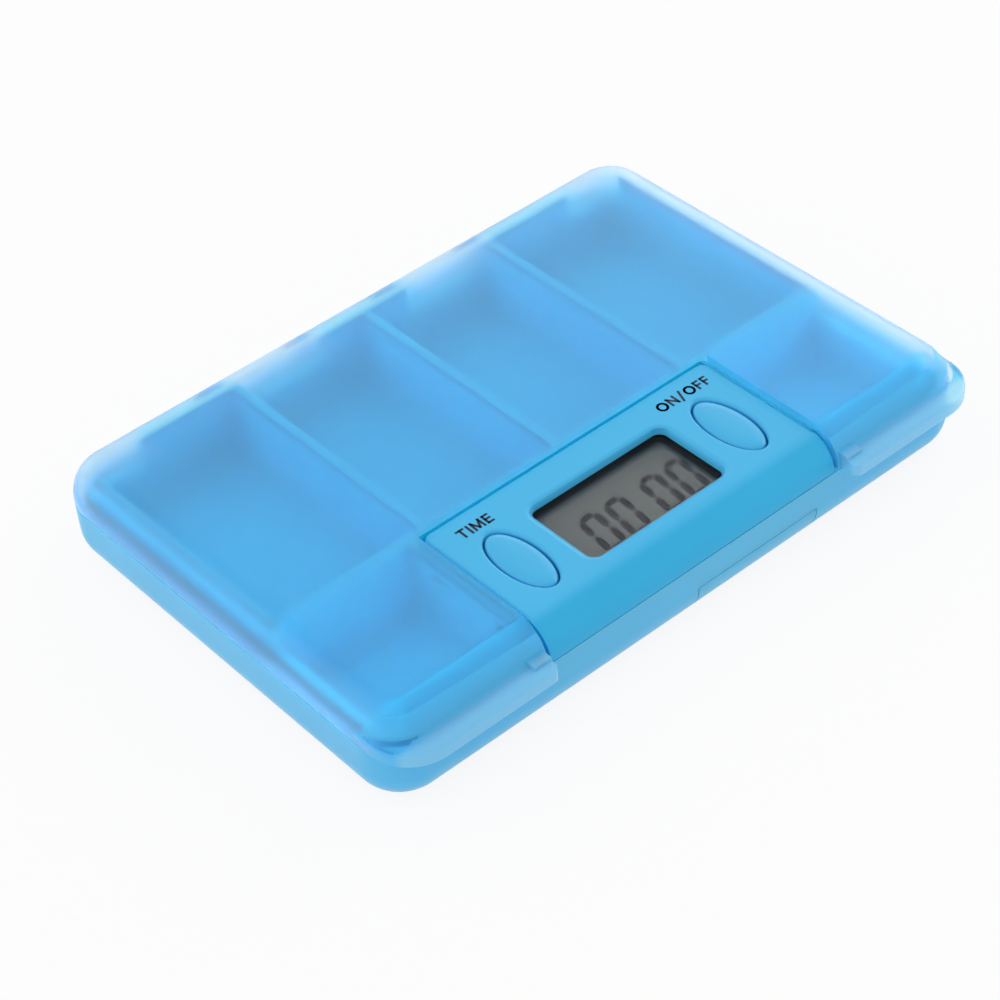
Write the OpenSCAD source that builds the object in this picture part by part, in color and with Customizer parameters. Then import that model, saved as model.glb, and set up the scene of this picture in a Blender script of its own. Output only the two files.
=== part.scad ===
// Flat pocket pill organiser with a flip-up lid and a built-in reminder timer.
// Origin: centre of the underside. +X to the right, +Y to the hinge, +Z up.

/* [Case] */
// Length of the case from side to side
case_length = 100; // [94:1:120]
// Depth of the case from front to back, without the thumb lip
case_depth = 70; // [68:1:90]
// Height of the closed case
case_height = 15; // [14.8:0.1:17]
// Corner radius of the case seen from above
corner_radius = 6.5; // [5.5:0.25:8]
// Height of the parting line between base and lid
parting_height = 9.5; // [9.2:0.1:10]
// Gap between base and lid at the parting line
parting_gap = 0.3; // [0.2:0.05:0.4]
// Radius of the rounded lower edge of the base
base_edge_radius = 5; // [4:0.25:5.25]
// Radius of the rounded upper edge of the lid
lid_edge_radius = 4.9; // [3:0.1:5]
// Wall and floor thickness of the base
base_wall = 1.6; // [1.4:0.1:1.8]
// Wall thickness of the lid
lid_wall = 1.2; // [1:0.05:1.3]

/* [Compartments] */
// Thickness of the dividers and inner walls
divider = 1.2; // [0.8:0.1:1.6]
// Distance between the three back dividers
column_pitch = 22.5; // [20:0.5:24]
// Outer face of the side walls of the compartments, measured from the side of the case
side_inset = 2.6; // [2.2:0.1:3.5]
// Outer face of the back wall of the compartments, measured from the back of the case
back_inset = 2.6; // [2.2:0.1:3.5]
// Outer face of the front compartments' front wall, measured from the front of the case
front_inset = 3.7; // [2.4:0.1:4.5]
// Corner radius of the compartment block
block_radius = 2.4; // [1.5:0.1:3]
// Clearance between the lid and what stands up under it
lid_clearance = 0.3; // [0.25:0.05:0.5]
// Length of each raised tab on the back wall
tab_length = 15.2; // [8:0.2:18]
// Middle of the outer raised tabs, measured from the centre
tab_offset = 30.3; // [26:0.5:34]
// Distance from the back of the case to the end of the raised side walls
side_wall_end = 5.5; // [4:0.5:12]
// Distance from the side of the case to the end of the raised front walls
front_wall_end = 6; // [5:0.5:12]

/* [Lid lip] */
// How far the thumb lip stands out in front of the case
lip_reach = 3; // [2:0.1:4]
// Thickness of the thumb lip
lip_thickness = 1.85; // [1.2:0.05:2.2]
// Radius of the outer corner of the lip
lip_corner = 6.5; // [5:0.25:7.5]
// Radius of the rounded upper edge of the lip
lip_edge = 0.5; // [0.2:0.1:0.8]
// Radius of the corner where the lip ends beside the timer
lip_end_corner = 1.1; // [0.4:0.1:1.4]
// Gap between the end of the lip and the edge of the notch
lip_setback = 0.4; // [0.1:0.1:1.5]
// Radius of the hollow fillet between the lip and the lid
lip_fillet = 2; // [1.2:0.1:2.4]
// Length of the raised block at the end of the lip
end_block_length = 2.7; // [1.5:0.1:4]
// Height of the end block above the lip
end_block_height = 0.6; // [0.3:0.1:1]
// How far the end block stands out in front of the case
end_block_reach = 1.3; // [0.8:0.1:1.6]

/* [Hinge] */
// Distance of the hinge axis behind the back of the case
hinge_offset = 1.4; // [1.3:0.05:1.8]
// Distance of the hinge axis below the parting line
hinge_drop = 1.3; // [1.1:0.05:1.6]
// Outer radius of the hinge knuckles
barrel_radius = 1.6; // [1.5:0.05:1.7]
// Radius of the moulded hinge pins
pin_radius = 0.85; // [0.7:0.05:1]
// Radial clearance of the pins in their bores
pin_clearance = 0.07; // [0.03:0.01:0.1]
// Middle of each hinge, measured from the centre
hinge_spread = 15.5; // [12:0.5:30]
// Length of the lid's knuckle
knuckle_length = 12.4; // [8:0.2:14]
// Length of each ear on the base
ear_length = 2.5; // [2:0.1:3.5]
// Clearance round the knuckles
knuckle_gap = 0.3; // [0.25:0.05:0.4]
// Height of the arm that joins the knuckle to the lid, above the hinge axis
arm_height = 3.2; // [2.6:0.1:3.6]
// Height of the web that joins each ear to the base, below the hinge axis
web_depth = 3.6; // [2.5:0.1:4.5]

/* [Timer cover] */
// Room between the display and the collars of the buttons beside it
button_gap = 0.4; // [0.3:0.1:1]
// Middle of each button, measured from the side of the cover
button_inset = 6.5; // [6.3:0.1:7.5]
// Room between the display and the back wall of the cover
display_back_gap = 1.75; // [1.5:0.05:3]
// How far the top of the cover lies below the top of the lid
cover_sink = 0.8; // [0.6:0.1:1]
// Wall thickness of the cover
cover_wall = 1.3; // [1:0.1:1.5]
// Thickness of the cover's tongue inside the front wall of the base
tongue = 0.8; // [0.6:0.1:1]
// How far the cover's walls reach below the parting line
skirt_depth = 0.9; // [0.6:0.1:1.1]
// Gap between the cover and the notch in the lid
notch_gap = 0.6; // [0.4:0.1:0.9]
// Corner radius of the notch
notch_corner = 1; // [0.5:0.1:2]
// Gap between the cover and the side walls of its bay
bay_side_gap = 0.3; // [0.2:0.05:0.5]
// Gap between the cover and the cross wall behind it
bay_back_gap = 0.85; // [0.4:0.05:1]
// Height of the seam line between cover and base
seam = 0.12; // [0.05:0.01:0.2]

/* [Display] */
// Width of the window
window_width = 22.3; // [18:0.1:23]
// Depth of the window
window_depth = 11.6; // [9:0.1:12]
// Corner radius of the window
window_corner = 1.4; // [0.8:0.1:2]
// Width of the bevel round the window
window_bevel = 0.8; // [0.4:0.1:1]
// Middle of the window, measured from the front of the case
window_from_front = 12.65; // [12:0.05:13.5]
// Width of the display glass
glass_width = 26; // [25:0.1:26.4]
// Depth of the display glass
glass_depth = 15.5; // [14:0.1:16]
// Thickness of the display glass
glass_thickness = 1.4; // [1:0.1:1.6]
// Thickness of the clear window
pane_thickness = 0.8; // [0.5:0.1:1]
// Thickness of the gasket between window and glass
gasket_thickness = 0.9; // [0.4:0.1:1.2]
// How much the gasket's opening is wider than the window, on each side
gasket_margin = 0.2; // [0:0.1:0.5]
// Thickness of the display holder's walls
holder_wall = 0.8; // [0.6:0.1:0.9]
// Clearance round the display glass
glass_clearance = 0.15; // [0.05:0.05:0.2]
// Width of each rubber contact strip
strip_width = 1.6; // [1:0.1:2]
// How much shorter the rubber contact strips are than the glass
strip_margin = 2; // [1:0.5:6]

/* [Digits] */
// Height of a digit
digit_height = 7.9; // [5:0.1:9]
// Width of a digit
digit_width = 3.5; // [2.5:0.1:3.6]
// Distance between two digits of a pair
digit_pitch = 4.1; // [4:0.05:4.4]
// Distance between the two pairs
pair_pitch = 9.6; // [9:0.1:10]
// Width of a segment
segment_width = 0.75; // [0.4:0.05:0.9]
// Gap between two segments
segment_gap = 0.16; // [0.08:0.02:0.3]
// Thickness of the dark segment layer
segment_layer = 0.06; // [0.04:0.01:0.1]
// Sideways lean of the digits in degrees
digit_lean = 4; // [0:1:8]
// Middle of the digits, measured from the centre of the window
digits_right = 1.8; // [0:0.1:2]
// How far the digits lie in front of the centre of the window
digits_forward = 0.75; // [0:0.05:1]

/* [Buttons] */
// Width of the button holes
button_width = 6.1; // [5:0.1:6.3]
// Length of the button holes
button_length = 12.9; // [9:0.1:13.5]
// Clearance of the buttons in their holes
button_clearance = 0.15; // [0.1:0.05:0.25]
// How far a button can be pressed
button_travel = 0.5; // [0.3:0.05:0.6]
// Width of the collar that keeps a button in
collar_width = 0.75; // [0.5:0.05:0.8]
// Thickness of the collar
collar_thickness = 0.8; // [0.5:0.1:1]
// Gap between the collar and the cover
collar_gap = 0.2; // [0.1:0.05:0.3]
// Width of the rounded rim of a button
rim = 0.45; // [0.2:0.05:0.6]
// Radius of the plunger under a button
plunger_radius = 1.5; // [1:0.1:2]
// Radius of a switch dome
dome_radius = 2.6; // [2:0.1:3]
// Height of a switch dome
dome_height = 0.4; // [0.3:0.05:0.5]
// Gap between plunger and dome when the button is fully pressed
dome_gap = 0.05; // [0.02:0.01:0.1]

/* [Circuit board] */
// Thickness of the circuit board
board_thickness = 1; // [0.6:0.1:1.2]
// Clearance between the board and the cover's walls
board_clearance = 0.6; // [0.3:0.1:0.8]
// Distance of the screws from the side edges of the board
screw_inset = 1.7; // [1.5:0.1:2]
// Distance of the screws from the front and back edges of the board
screw_inset_deep = 1.7; // [1.5:0.1:2.2]
// Radius of the screw bosses
boss_radius = 1.6; // [1.4:0.1:1.7]
// Radius of the screw shanks
screw_radius = 0.7; // [0.5:0.05:0.8]
// Radial clearance of the screws in bosses and board
screw_clearance = 0.05; // [0.03:0.01:0.1]
// Length of the screw shanks
screw_length = 4; // [3:0.1:4.4]
// Radius of the screw heads
head_radius = 1.35; // [1.2:0.05:1.5]
// Height of the screw heads
head_height = 0.7; // [0.5:0.05:0.8]

/* [Battery] */
// Radius of the coin cell
cell_radius = 10; // [9:0.1:10]
// Thickness of the coin cell
cell_thickness = 3.2; // [2.5:0.1:3.2]
// Height of the cell's raised middle
can_step = 0.4; // [0.2:0.05:0.5]
// Width of the rim round the cell's raised middle
can_edge = 1.2; // [0.8:0.1:1.5]
// Radial clearance of the cell in its well
well_clearance = 0.25; // [0.1:0.05:0.35]
// Thickness of the well's wall
well_wall = 0.9; // [0.6:0.1:1]
// Depth of the well's wall along the cell
well_depth = 2.3; // [1.5:0.1:2.4]
// Middle of the cell, measured from the front of the case
cell_from_front = 13.6; // [13.5:0.05:14]
// Middle of the cell, measured from the side wall of the timer's bay
cell_from_side = 14.15; // [13.5:0.05:15]
// Height of the cell above the floor, where the battery door lies
cell_lift = 0.3; // [0.2:0.05:0.4]
// Width of the ledge above the rim of the cell
ledge = 1.5; // [1:0.1:3]
// Thickness of the deck above the cell
deck_thickness = 0.8; // [0.6:0.1:0.8]
// Gap between the cell and the deck
deck_gap = 0.4; // [0.2:0.05:0.4]
// How far the deck reaches past the well
deck_margin = 1; // [0.5:0.1:2]
// Thickness of the contact springs
contact_thickness = 0.25; // [0.2:0.05:0.3]
// Width of the contact springs
contact_width = 4; // [3:0.5:6]
// Room beside the contact springs
contact_gap = 0.4; // [0.3:0.1:0.8]
// Length of the contact springs' soldered feet
contact_foot = 2.6; // [2:0.1:3]
// Length of the spring's tip that touches the cell
contact_tip = 3; // [2:0.1:5]

/* [Battery door] */
// Width of the battery door's opening
door_width = 21.3; // [21:0.1:22.5]
// How far the opening reaches behind the cell
door_margin = 0.4; // [0.3:0.05:0.6]
// Thickness of the door
door_wall = 1.3; // [1:0.1:1.4]
// Clearance of the door in its opening
door_clearance = 0.15; // [0.1:0.05:0.2]
// How far the door's slanted edges undercut the floor
door_undercut = 0.6; // [0.4:0.1:0.8]
// How far the underside of the door lies above the table
door_lift = 0.1; // [0.05:0.05:0.2]
// Length of the grip grooves in the underside of the door
grip_length = 9; // [5:0.5:14]
// Width of a grip groove, and of the land beside it
grip_width = 0.9; // [0.6:0.1:1.2]
// Depth of the grip grooves
grip_depth = 0.4; // [0.2:0.05:0.5]

/* [Buzzer] */
// Radius of the buzzer's brass disc
buzzer_radius = 9; // [7:0.1:9.5]
// Thickness of the brass disc
buzzer_thickness = 0.25; // [0.2:0.05:0.4]
// Radius of the ceramic disc on it
ceramic_radius = 6; // [4:0.1:6.5]
// Thickness of the ceramic disc
ceramic_thickness = 0.2; // [0.15:0.05:0.3]
// Height of the ring that carries the buzzer, above the floor
buzzer_height = 2.4; // [1.5:0.1:2.8]
// Middle of the buzzer, measured from the side wall of the timer's bay
buzzer_from_side = 12.2; // [11.5:0.1:13]
// Clearance between the brass disc and the outside of its ring
ring_margin = 0.3; // [0.1:0.05:0.5]
// Width of the ring that carries the brass disc
ring_width = 1.2; // [0.8:0.1:2]
// Radius of the wires
wire_radius = 0.35; // [0.25:0.05:0.45]
// Radius of the bends in the wires
wire_bend = 0.8; // [0.6:0.05:1]
// Length of the wire from the ceramic disc
hot_wire = 3.5; // [2:0.5:5]
// Length of the wire from the brass disc
ground_wire = 3; // [2:0.5:4]
// How far the feet of the wires lie beside the middle of the buzzer
wire_offset = 2; // [1:0.5:3]

/* [Parts under the board] */
// Radius of the resin cap over the chip
chip_radius = 3.2; // [2:0.1:3.5]
// Height of the resin cap
chip_height = 1.1; // [0.8:0.1:1.3]
// Middle of the chip, measured from the left edge of the board
chip_from_side = 10; // [9:0.1:12]
// Middle of the chip, measured from the back edge of the board
chip_from_back = 5.5; // [5:0.1:7]
// Radius of the watch crystal
crystal_radius = 1; // [0.75:0.05:1.1]
// Length of the watch crystal
crystal_length = 6; // [5:0.5:8]
// Middle of the crystal, measured from the left edge of the board
crystal_from_side = 2.4; // [1.5:0.1:3]
// Length of a capacitor
capacitor_length = 2; // [1:0.1:2.5]
// Width of a capacitor
capacitor_width = 1.2; // [0.5:0.1:1.4]
// Height of a capacitor
capacitor_height = 0.8; // [0.4:0.1:1]
// Gap between the capacitors and the resin cap
capacitor_gap = 1.3; // [0.5:0.1:2]
// Distance from one capacitor to the next
capacitor_pitch = 2.8; // [2:0.1:4]

/* [Cover catches] */
// Length of a snap tooth
snap_length = 2.4; // [1.5:0.1:4]
// Height of a snap tooth
snap_height = 1; // [0.6:0.1:1.2]
// How far a snap tooth reaches into the wall of the bay
snap_reach = 0.35; // [0.2:0.05:0.5]
// Height of the teeth above the parting line
snap_rise = 0.8; // [0.6:0.1:1]
// Clearance of a tooth along its window
snap_room = 0.3; // [0.2:0.05:0.5]
// Clearance of a tooth above and below
snap_play = 0.2; // [0.1:0.05:0.3]
// Middle of the front teeth, measured from the front of the case
snap_from_front = 7; // [6:0.5:9]
// Middle of the back teeth, measured from the back of the cover
snap_from_back = 5.2; // [4:0.1:6]

/* [Hidden] */
$fn = 64;
overrun = 1;
sink = 0.1;

side_x = case_length / 2;
back_y = case_depth / 2;
front_y = -case_depth / 2;
rim_z = parting_height - parting_gap / 2;
lid_z = parting_height + parting_gap / 2;
lid_inner_z = case_height - lid_wall;
wall_top = lid_inner_z - lid_clearance;

block_x = side_x - side_inset;
block_back = back_y - back_inset;
block_front = front_y + front_inset;

cover_top = case_height - cover_sink;
cover_under = cover_top - cover_wall;
holder_x = glass_width / 2 + glass_clearance + holder_wall;
holder_y = glass_depth / 2 + glass_clearance + holder_wall;
button_x = holder_x + button_gap + button_width / 2 - button_clearance + collar_width;
window_y = front_y + window_from_front;
cover_x = button_x + button_inset;
cover_back = window_y + holder_y + display_back_gap + cover_wall;
cover_foot = parting_height - skirt_depth;
cover_round = cover_top - parting_height;
bay_x = cover_x + bay_side_gap;
cross_front = cover_back + bay_back_gap;
notch_x = cover_x + notch_gap;
notch_back = cover_back + notch_gap;
snap_y = [cover_back - snap_from_back, front_y + snap_from_front];
snap_z = parting_height + snap_rise;

hinge_y = back_y + hinge_offset;
hinge_z = parting_height - hinge_drop;
ear_middle = knuckle_length / 2 + knuckle_gap + ear_length / 2;

lip_z = lid_z + lip_thickness;
lip_end_x = notch_x + lip_setback;
dome_z = case_height - lid_edge_radius;
fillet_rise = lip_z - dome_z + lip_fillet;
fillet_run = sqrt(pow(lid_edge_radius + lip_fillet, 2) - pow(fillet_rise, 2));
fillet_share = lid_edge_radius / (lid_edge_radius + lip_fillet);

cell_x = bay_x - cell_from_side;
cell_y = front_y + cell_from_front;
cell_z = base_wall + cell_lift;
cell_top = cell_z + cell_thickness;
deck_z = cell_top + deck_gap;
deck_top = deck_z + deck_thickness;
well_radius = cell_radius + well_clearance;
well_z = cell_top - well_depth;
deck_left = cell_x - well_radius - well_wall - deck_margin;
door_left = cell_x - door_width / 2;
door_right = cell_x + door_width / 2;
door_height = deck_z - door_clearance;
door_back = cell_y + cell_radius + door_margin;

pane_z = cover_under - pane_thickness;
gasket_z = pane_z - gasket_thickness;
glass_z = gasket_z - glass_thickness;
board_z = deck_top + head_height;
board_top = board_z + board_thickness;
strip_thickness = glass_z - board_top;
board_x = cover_x - cover_wall - board_clearance;
board_back = cover_back - cover_wall - board_clearance / 4;
board_front = front_y + base_wall + tongue + board_clearance / 4 + seam;
screw_x = board_x - screw_inset;
screw_back = board_back - screw_inset_deep;
screw_front = board_front + screw_inset_deep;

buzzer_x = buzzer_from_side - bay_x;
buzzer_z = base_wall + buzzer_height;
buzzer_y = cell_y;
chip_x = chip_from_side - board_x;
chip_y = board_back - chip_from_back;

// ---- helpers ----

// Area outside a quarter circle, for rounding the corner of a profile at [0, 0]
module nick(r) {
  difference() {
    translate([-overrun, -overrun]) square(r + overrun);
    translate([r, r]) circle(r);
  }
}

// Side profile of a slab: x runs from the corner's centre out to r
module side_profile(r, z0, z1, low, high) {
  difference() {
    translate([0, z0]) square([r, z1 - z0]);
    if (low > 0) translate([r, z0]) mirror([1, 0]) nick(low);
    if (high > 0) translate([r, z1]) rotate(180) nick(high);
  }
}

// Sweeps a side profile round a rectangle with rounded corners
module swept(l, w, r) {
  for (k = [0:3]) {
    along = k % 2 == 0 ? l : w;
    across = k % 2 == 0 ? w : l;
    rotate(90 * k) translate([along / 2 - r, across / 2 - r]) {
      rotate_extrude(angle = 90) children();
      translate([2 * r - along, 0]) rotate([90, 0, 90]) linear_extrude(along - 2 * r) children();
    }
  }
}

// Slab with rounded corners and rounded lower or upper edges
module slab(l, w, r, z0, z1, low, high) {
  swept(l, w, r) side_profile(r, z0, z1, low, high);
  translate([-l / 2 + r, -w / 2 + r, z0]) cube([l - 2 * r, w - 2 * r, z1 - z0]);
}

module rounded_rect(l, w, r) {
  translate([-l / 2 + r, -w / 2]) square([l - 2 * r, w]);
  translate([-l / 2, -w / 2 + r]) square([l, w - 2 * r]);
  for (sx = [-1, 1], sy = [-1, 1])
    translate([sx * (l / 2 - r), sy * (w / 2 - r)]) circle(r);
}

module ellipse(a, b) {
  polygon([for (k = [0:63]) [a * cos(k * 5.625), b * sin(k * 5.625)]]);
}

// Extrudes a [y, z] profile from x0 to x1
module along_x(x0, x1) {
  translate([x0, 0, 0]) rotate([90, 0, 90]) linear_extrude(x1 - x0) children();
}

// Extrudes an [x, z] profile from y0 to y1
module along_y(y0, y1) {
  translate([0, y1, 0]) rotate([90, 0, 0]) linear_extrude(y1 - y0) children();
}

module box(x0, x1, y0, y1, z0, z1) {
  translate([x0, y0, z0]) cube([x1 - x0, y1 - y0, z1 - z0]);
}

module both_sides() {
  children();
  mirror([1, 0, 0]) children();
}

// ---- base ----

// Room inside the base, up to height z1
module base_room(z1) {
  slab(case_length - 2 * base_wall, case_depth - 2 * base_wall, corner_radius - base_wall,
       base_wall, z1, base_edge_radius - base_wall, 0);
}

module base_shell() {
  difference() {
    slab(case_length, case_depth, corner_radius, 0, rim_z, base_edge_radius, 0);
    base_room(rim_z + overrun);
  }
}

// Room under the closed lid
module under_lid() {
  inset = lid_wall + lid_clearance;
  slab(case_length - 2 * inset, case_depth - 2 * inset, corner_radius - inset,
       base_wall - sink, wall_top, base_edge_radius - base_wall, lid_edge_radius - inset);
}

// Wall round all the compartments, up to height z1
module block_wall(z1) {
  middle = (block_back + block_front) / 2;
  depth = block_back - block_front;
  translate([0, middle, base_wall / 2]) linear_extrude(z1 - base_wall / 2) difference() {
    rounded_rect(2 * block_x, depth, block_radius);
    rounded_rect(2 * block_x - 2 * divider, depth - 2 * divider, block_radius - divider / 2);
  }
}

// Where the wall round the compartments rises to the lid
module raised_zones() {
  both_sides() {
    box(block_x / 2, side_x, cross_front, back_y - side_wall_end, 0, case_height);
    box(tab_offset - tab_length / 2, tab_offset + tab_length / 2, 0, back_y, 0, case_height);
    box(bay_x, side_x - front_wall_end, front_y, block_front + divider, 0, case_height);
  }
  box(-tab_length / 2, tab_length / 2, 0, back_y, 0, case_height);
}

module wall_layout() {
  difference() {
    union() {
      block_wall(rim_z);
      intersection() {
        union() {
          intersection() {
            block_wall(case_height);
            raised_zones();
          }
          for (x = [-column_pitch, 0, column_pitch])
            box(x - divider / 2, x + divider / 2, cross_front, block_back, base_wall / 2, case_height);
          box(-block_x, block_x, cross_front, cross_front + divider, base_wall / 2, case_height);
          both_sides()
            box(bay_x, bay_x + divider, front_y, cross_front + divider, base_wall / 2, case_height);
        }
        under_lid();
      }
    }
    box(-bay_x, bay_x, front_y - overrun, cross_front, 0, case_height);
  }
}

// Windows in the bay's side walls for the cover's snap teeth
module snap_windows() {
  half = snap_length / 2 + snap_room;
  both_sides() for (y = snap_y)
    box(bay_x - overrun, bay_x + divider + overrun, y - half, y + half,
        snap_z - snap_play, snap_z + snap_height + snap_play);
}

// Ribs in the bay on which the cover stands
module rest_ribs() {
  both_sides() for (y = snap_y)
    box(bay_x - bay_side_gap - cover_wall, bay_x + divider / 2, y - divider / 2, y + divider / 2,
        base_wall / 2, cover_foot);
}

// Deck above the coin cell, with the well's wall hanging from it
module cell_deck() {
  well_x = cell_x + well_radius + well_wall;
  slot_y = contact_width / 2 + contact_gap;
  slot_x = cell_x + cell_radius - contact_gap;
  difference() {
    union() {
      box(deck_left, bay_x + divider / 2, front_y + base_wall / 2, cross_front + divider / 2,
          deck_z, deck_top);
      translate([cell_x, cell_y, well_z]) cylinder(h = deck_z - well_z, r = well_radius + well_wall);
    }
    translate([cell_x, cell_y, well_z - overrun]) cylinder(h = deck_z - well_z + overrun, r = well_radius);
    translate([cell_x, cell_y, deck_z - overrun])
      cylinder(h = deck_thickness + 2 * overrun, r = cell_radius - ledge);
    box(slot_x, well_x + contact_gap, cell_y - slot_y, cell_y + slot_y, well_z - overrun,
        deck_top + overrun);
  }
}

module buzzer_seat() {
  ring_radius = buzzer_radius + ring_margin;
  translate([buzzer_x, buzzer_y, base_wall / 2]) difference() {
    cylinder(h = buzzer_z - base_wall / 2, r = ring_radius);
    translate([0, 0, -overrun]) cylinder(h = buzzer_z + overrun, r = ring_radius - ring_width);
  }
}

// Opening for the battery door; the slanted sides hold it in
module door_opening() {
  half = door_width / 2;
  slope = door_undercut / door_wall;
  low = half - slope * (door_lift + overrun);
  high = half + slope * (base_wall - door_lift);
  translate([cell_x, 0, 0]) {
    along_y(front_y - overrun, front_y + base_edge_radius + sink)
      polygon([[-low, -overrun], [low, -overrun], [high, base_wall], [-high, base_wall]]);
    along_y(front_y + base_edge_radius, door_back + door_clearance)
      polygon([[-low, -overrun], [low, -overrun], [high, base_wall], [high, base_wall + overrun],
               [-high, base_wall + overrun], [-high, base_wall]]);
  }
  box(door_left, door_right, front_y - overrun, front_y + base_edge_radius + overrun, -overrun, door_height);
}

module hinge_ear(x) {
  translate([x - ear_length / 2, hinge_y, hinge_z]) {
    rotate([0, 90, 0]) cylinder(h = ear_length, r = barrel_radius);
    along_x(0, ear_length) polygon([[0.3 * barrel_radius, -0.9 * barrel_radius],
      [-hinge_offset - base_wall / 2, -web_depth], [-hinge_offset - base_wall / 2, rim_z - hinge_z],
      [-0.6 * barrel_radius, rim_z - hinge_z], [0, 0]]);
  }
}

module base_tray() color([0.42, 0.72, 0.93]) {
  difference() {
    union() {
      difference() {
        base_shell();
        door_opening();
      }
      buzzer_seat();
      both_sides() for (s = [-1, 1]) hinge_ear(hinge_spread + s * ear_middle);
    }
    both_sides() translate([hinge_spread, hinge_y, hinge_z]) rotate([0, 90, 0]) {
      cylinder(h = 2 * ear_middle + ear_length + overrun, r = pin_radius + pin_clearance, center = true);
      cylinder(h = knuckle_length + 2 * knuckle_gap, r = barrel_radius + knuckle_gap, center = true);
    }
  }
}

// Walls of the compartments and of the timer's bay, seated on the base's floor
module compartments() color([0.42, 0.72, 0.93]) {
  difference() {
    intersection() {
      union() {
        wall_layout();
        rest_ribs();
        cell_deck();
      }
      base_room(case_height);
    }
    snap_windows();
  }
}

// ---- lid ----

// Flat part of the thumb lip on the right-hand side
module lip_plate() {
  lip_front = front_y - lip_reach;
  difference() {
    intersection() {
      slab(case_length, case_depth + 2 * lip_reach, lip_corner, lid_z, lip_z, 0, lip_edge);
      box(lip_end_x, side_x + overrun, lip_front - overrun, front_y + corner_radius,
          lid_z - overrun, lip_z + overrun);
    }
    translate([lip_end_x, lip_front, lid_z - overrun])
      linear_extrude(lip_thickness + 2 * overrun) nick(lip_end_corner);
  }
}

// Profile of the hollow fillet between lip and lid, from the centre of the lid's corner
module lip_fillet_profile() {
  low = lip_z - lip_thickness / 2;
  dome_r = corner_radius - lid_edge_radius;
  fillet_r = dome_r + fillet_run;
  meet_r = dome_r + fillet_run * fillet_share;
  difference() {
    translate([meet_r, low]) square([fillet_r - meet_r, dome_z + fillet_rise * fillet_share - low]);
    translate([fillet_r - sink / 2, lip_z + lip_fillet - sink / 2]) circle(lip_fillet);
  }
}

module lip() {
  lip_plate();
  intersection() {
    swept(case_length, case_depth, corner_radius) lip_fillet_profile();
    slab(case_length - 2 * lip_edge, case_depth + 2 * lip_reach - 2 * lip_edge,
         lip_corner - lip_edge, lid_z, case_height, 0, 0);
    box(lip_end_x, side_x, front_y - lip_reach, front_y + corner_radius, lid_z, case_height);
  }
  box(lip_end_x, lip_end_x + end_block_length, front_y - end_block_reach, front_y + lid_wall / 2,
      lip_z - lip_thickness / 2, lip_z + end_block_height);
}

module lid_shell() {
  difference() {
    union() {
      slab(case_length, case_depth, corner_radius, lid_z, case_height, 0, lid_edge_radius);
      both_sides() lip();
    }
    slab(case_length - 2 * lid_wall, case_depth - 2 * lid_wall, corner_radius - lid_wall,
         lid_z - overrun, lid_inner_z, 0, lid_edge_radius - lid_wall);
    translate([0, 0, lid_z - overrun]) linear_extrude(case_height) difference() {
      translate([-notch_x, front_y - overrun]) square([2 * notch_x, notch_back - front_y + overrun]);
      translate([-notch_x, notch_back]) mirror([0, 1]) nick(notch_corner);
      translate([notch_x, notch_back]) rotate(180) nick(notch_corner);
    }
  }
}

module lid_knuckle() {
  near = hinge_offset - knuckle_gap;
  into = hinge_offset + 0.7 * lid_wall;
  translate([hinge_spread, hinge_y, hinge_z]) {
    rotate([0, 90, 0]) {
      cylinder(h = knuckle_length, r = barrel_radius, center = true);
      cylinder(h = 2 * ear_middle + ear_length - knuckle_gap, r = pin_radius, center = true);
    }
    along_x(-knuckle_length / 2, knuckle_length / 2) polygon([[-near, 0], [-near, lid_z - hinge_z],
      [-into, lid_z - hinge_z], [-into, arm_height], [-hinge_offset, arm_height], [0, barrel_radius],
      [0, 0]]);
  }
}

module lid() color([0.45, 0.75, 0.95, 0.55]) {
  lid_shell();
  both_sides() lid_knuckle();
}

// ---- timer cover ----

module cover_profile(inset) {
  r = cover_round - inset;
  difference() {
    translate([front_y + inset, cover_foot])
      square([cover_back - front_y - 2 * inset, cover_top - inset - cover_foot]);
    translate([front_y + inset, cover_top - inset]) mirror([0, 1]) nick(r);
  }
}

module cover_shell() {
  tongue_y = front_y + base_wall + seam;
  difference() {
    along_x(-cover_x, cover_x) cover_profile(0);
    along_x(-cover_x + cover_wall, cover_x - cover_wall) difference() {
      cover_profile(cover_wall);
      translate([front_y, 0]) square([tongue_y + tongue - front_y, parting_height + tongue]);
    }
    box(-cover_x + cover_wall, cover_x - cover_wall, tongue_y + tongue, cover_back - cover_wall,
        cover_foot - overrun, parting_height);
    box(-cover_x - overrun, cover_x + overrun, front_y - overrun, tongue_y,
        cover_foot - overrun, parting_height + seam / 2);
  }
}

module window_cut() {
  top = [[0, cover_top + overrun], [0, cover_under - overrun],
         [window_corner, cover_under - overrun], [window_corner, cover_top - window_bevel],
         [window_corner + window_bevel + overrun, cover_top + overrun]];
  grown = window_corner;
  translate([0, window_y, 0]) {
    swept(window_width, window_depth, grown) polygon(top);
    box(-window_width / 2 + grown, window_width / 2 - grown, -window_depth / 2 + grown,
        window_depth / 2 - grown, cover_under - overrun, cover_top + overrun);
  }
}

module display_holder() {
  translate([0, window_y, board_top]) linear_extrude(cover_under - board_top + cover_wall / 2)
    difference() {
      square([2 * holder_x, 2 * holder_y], center = true);
      square([2 * (holder_x - holder_wall), 2 * (holder_y - holder_wall)], center = true);
    }
}

module at_screws() {
  for (sx = [-1, 1], y = [screw_back, screw_front]) translate([sx * screw_x, y, 0]) children();
}

module snap_teeth() {
  both_sides() for (y = snap_y) translate([cover_x, 0, snap_z]) along_y(y - snap_length / 2, y + snap_length / 2)
    polygon([[-cover_wall / 2, 0], [0, 0], [bay_side_gap + snap_reach, snap_height],
             [-cover_wall / 2, snap_height]]);
}

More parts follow.
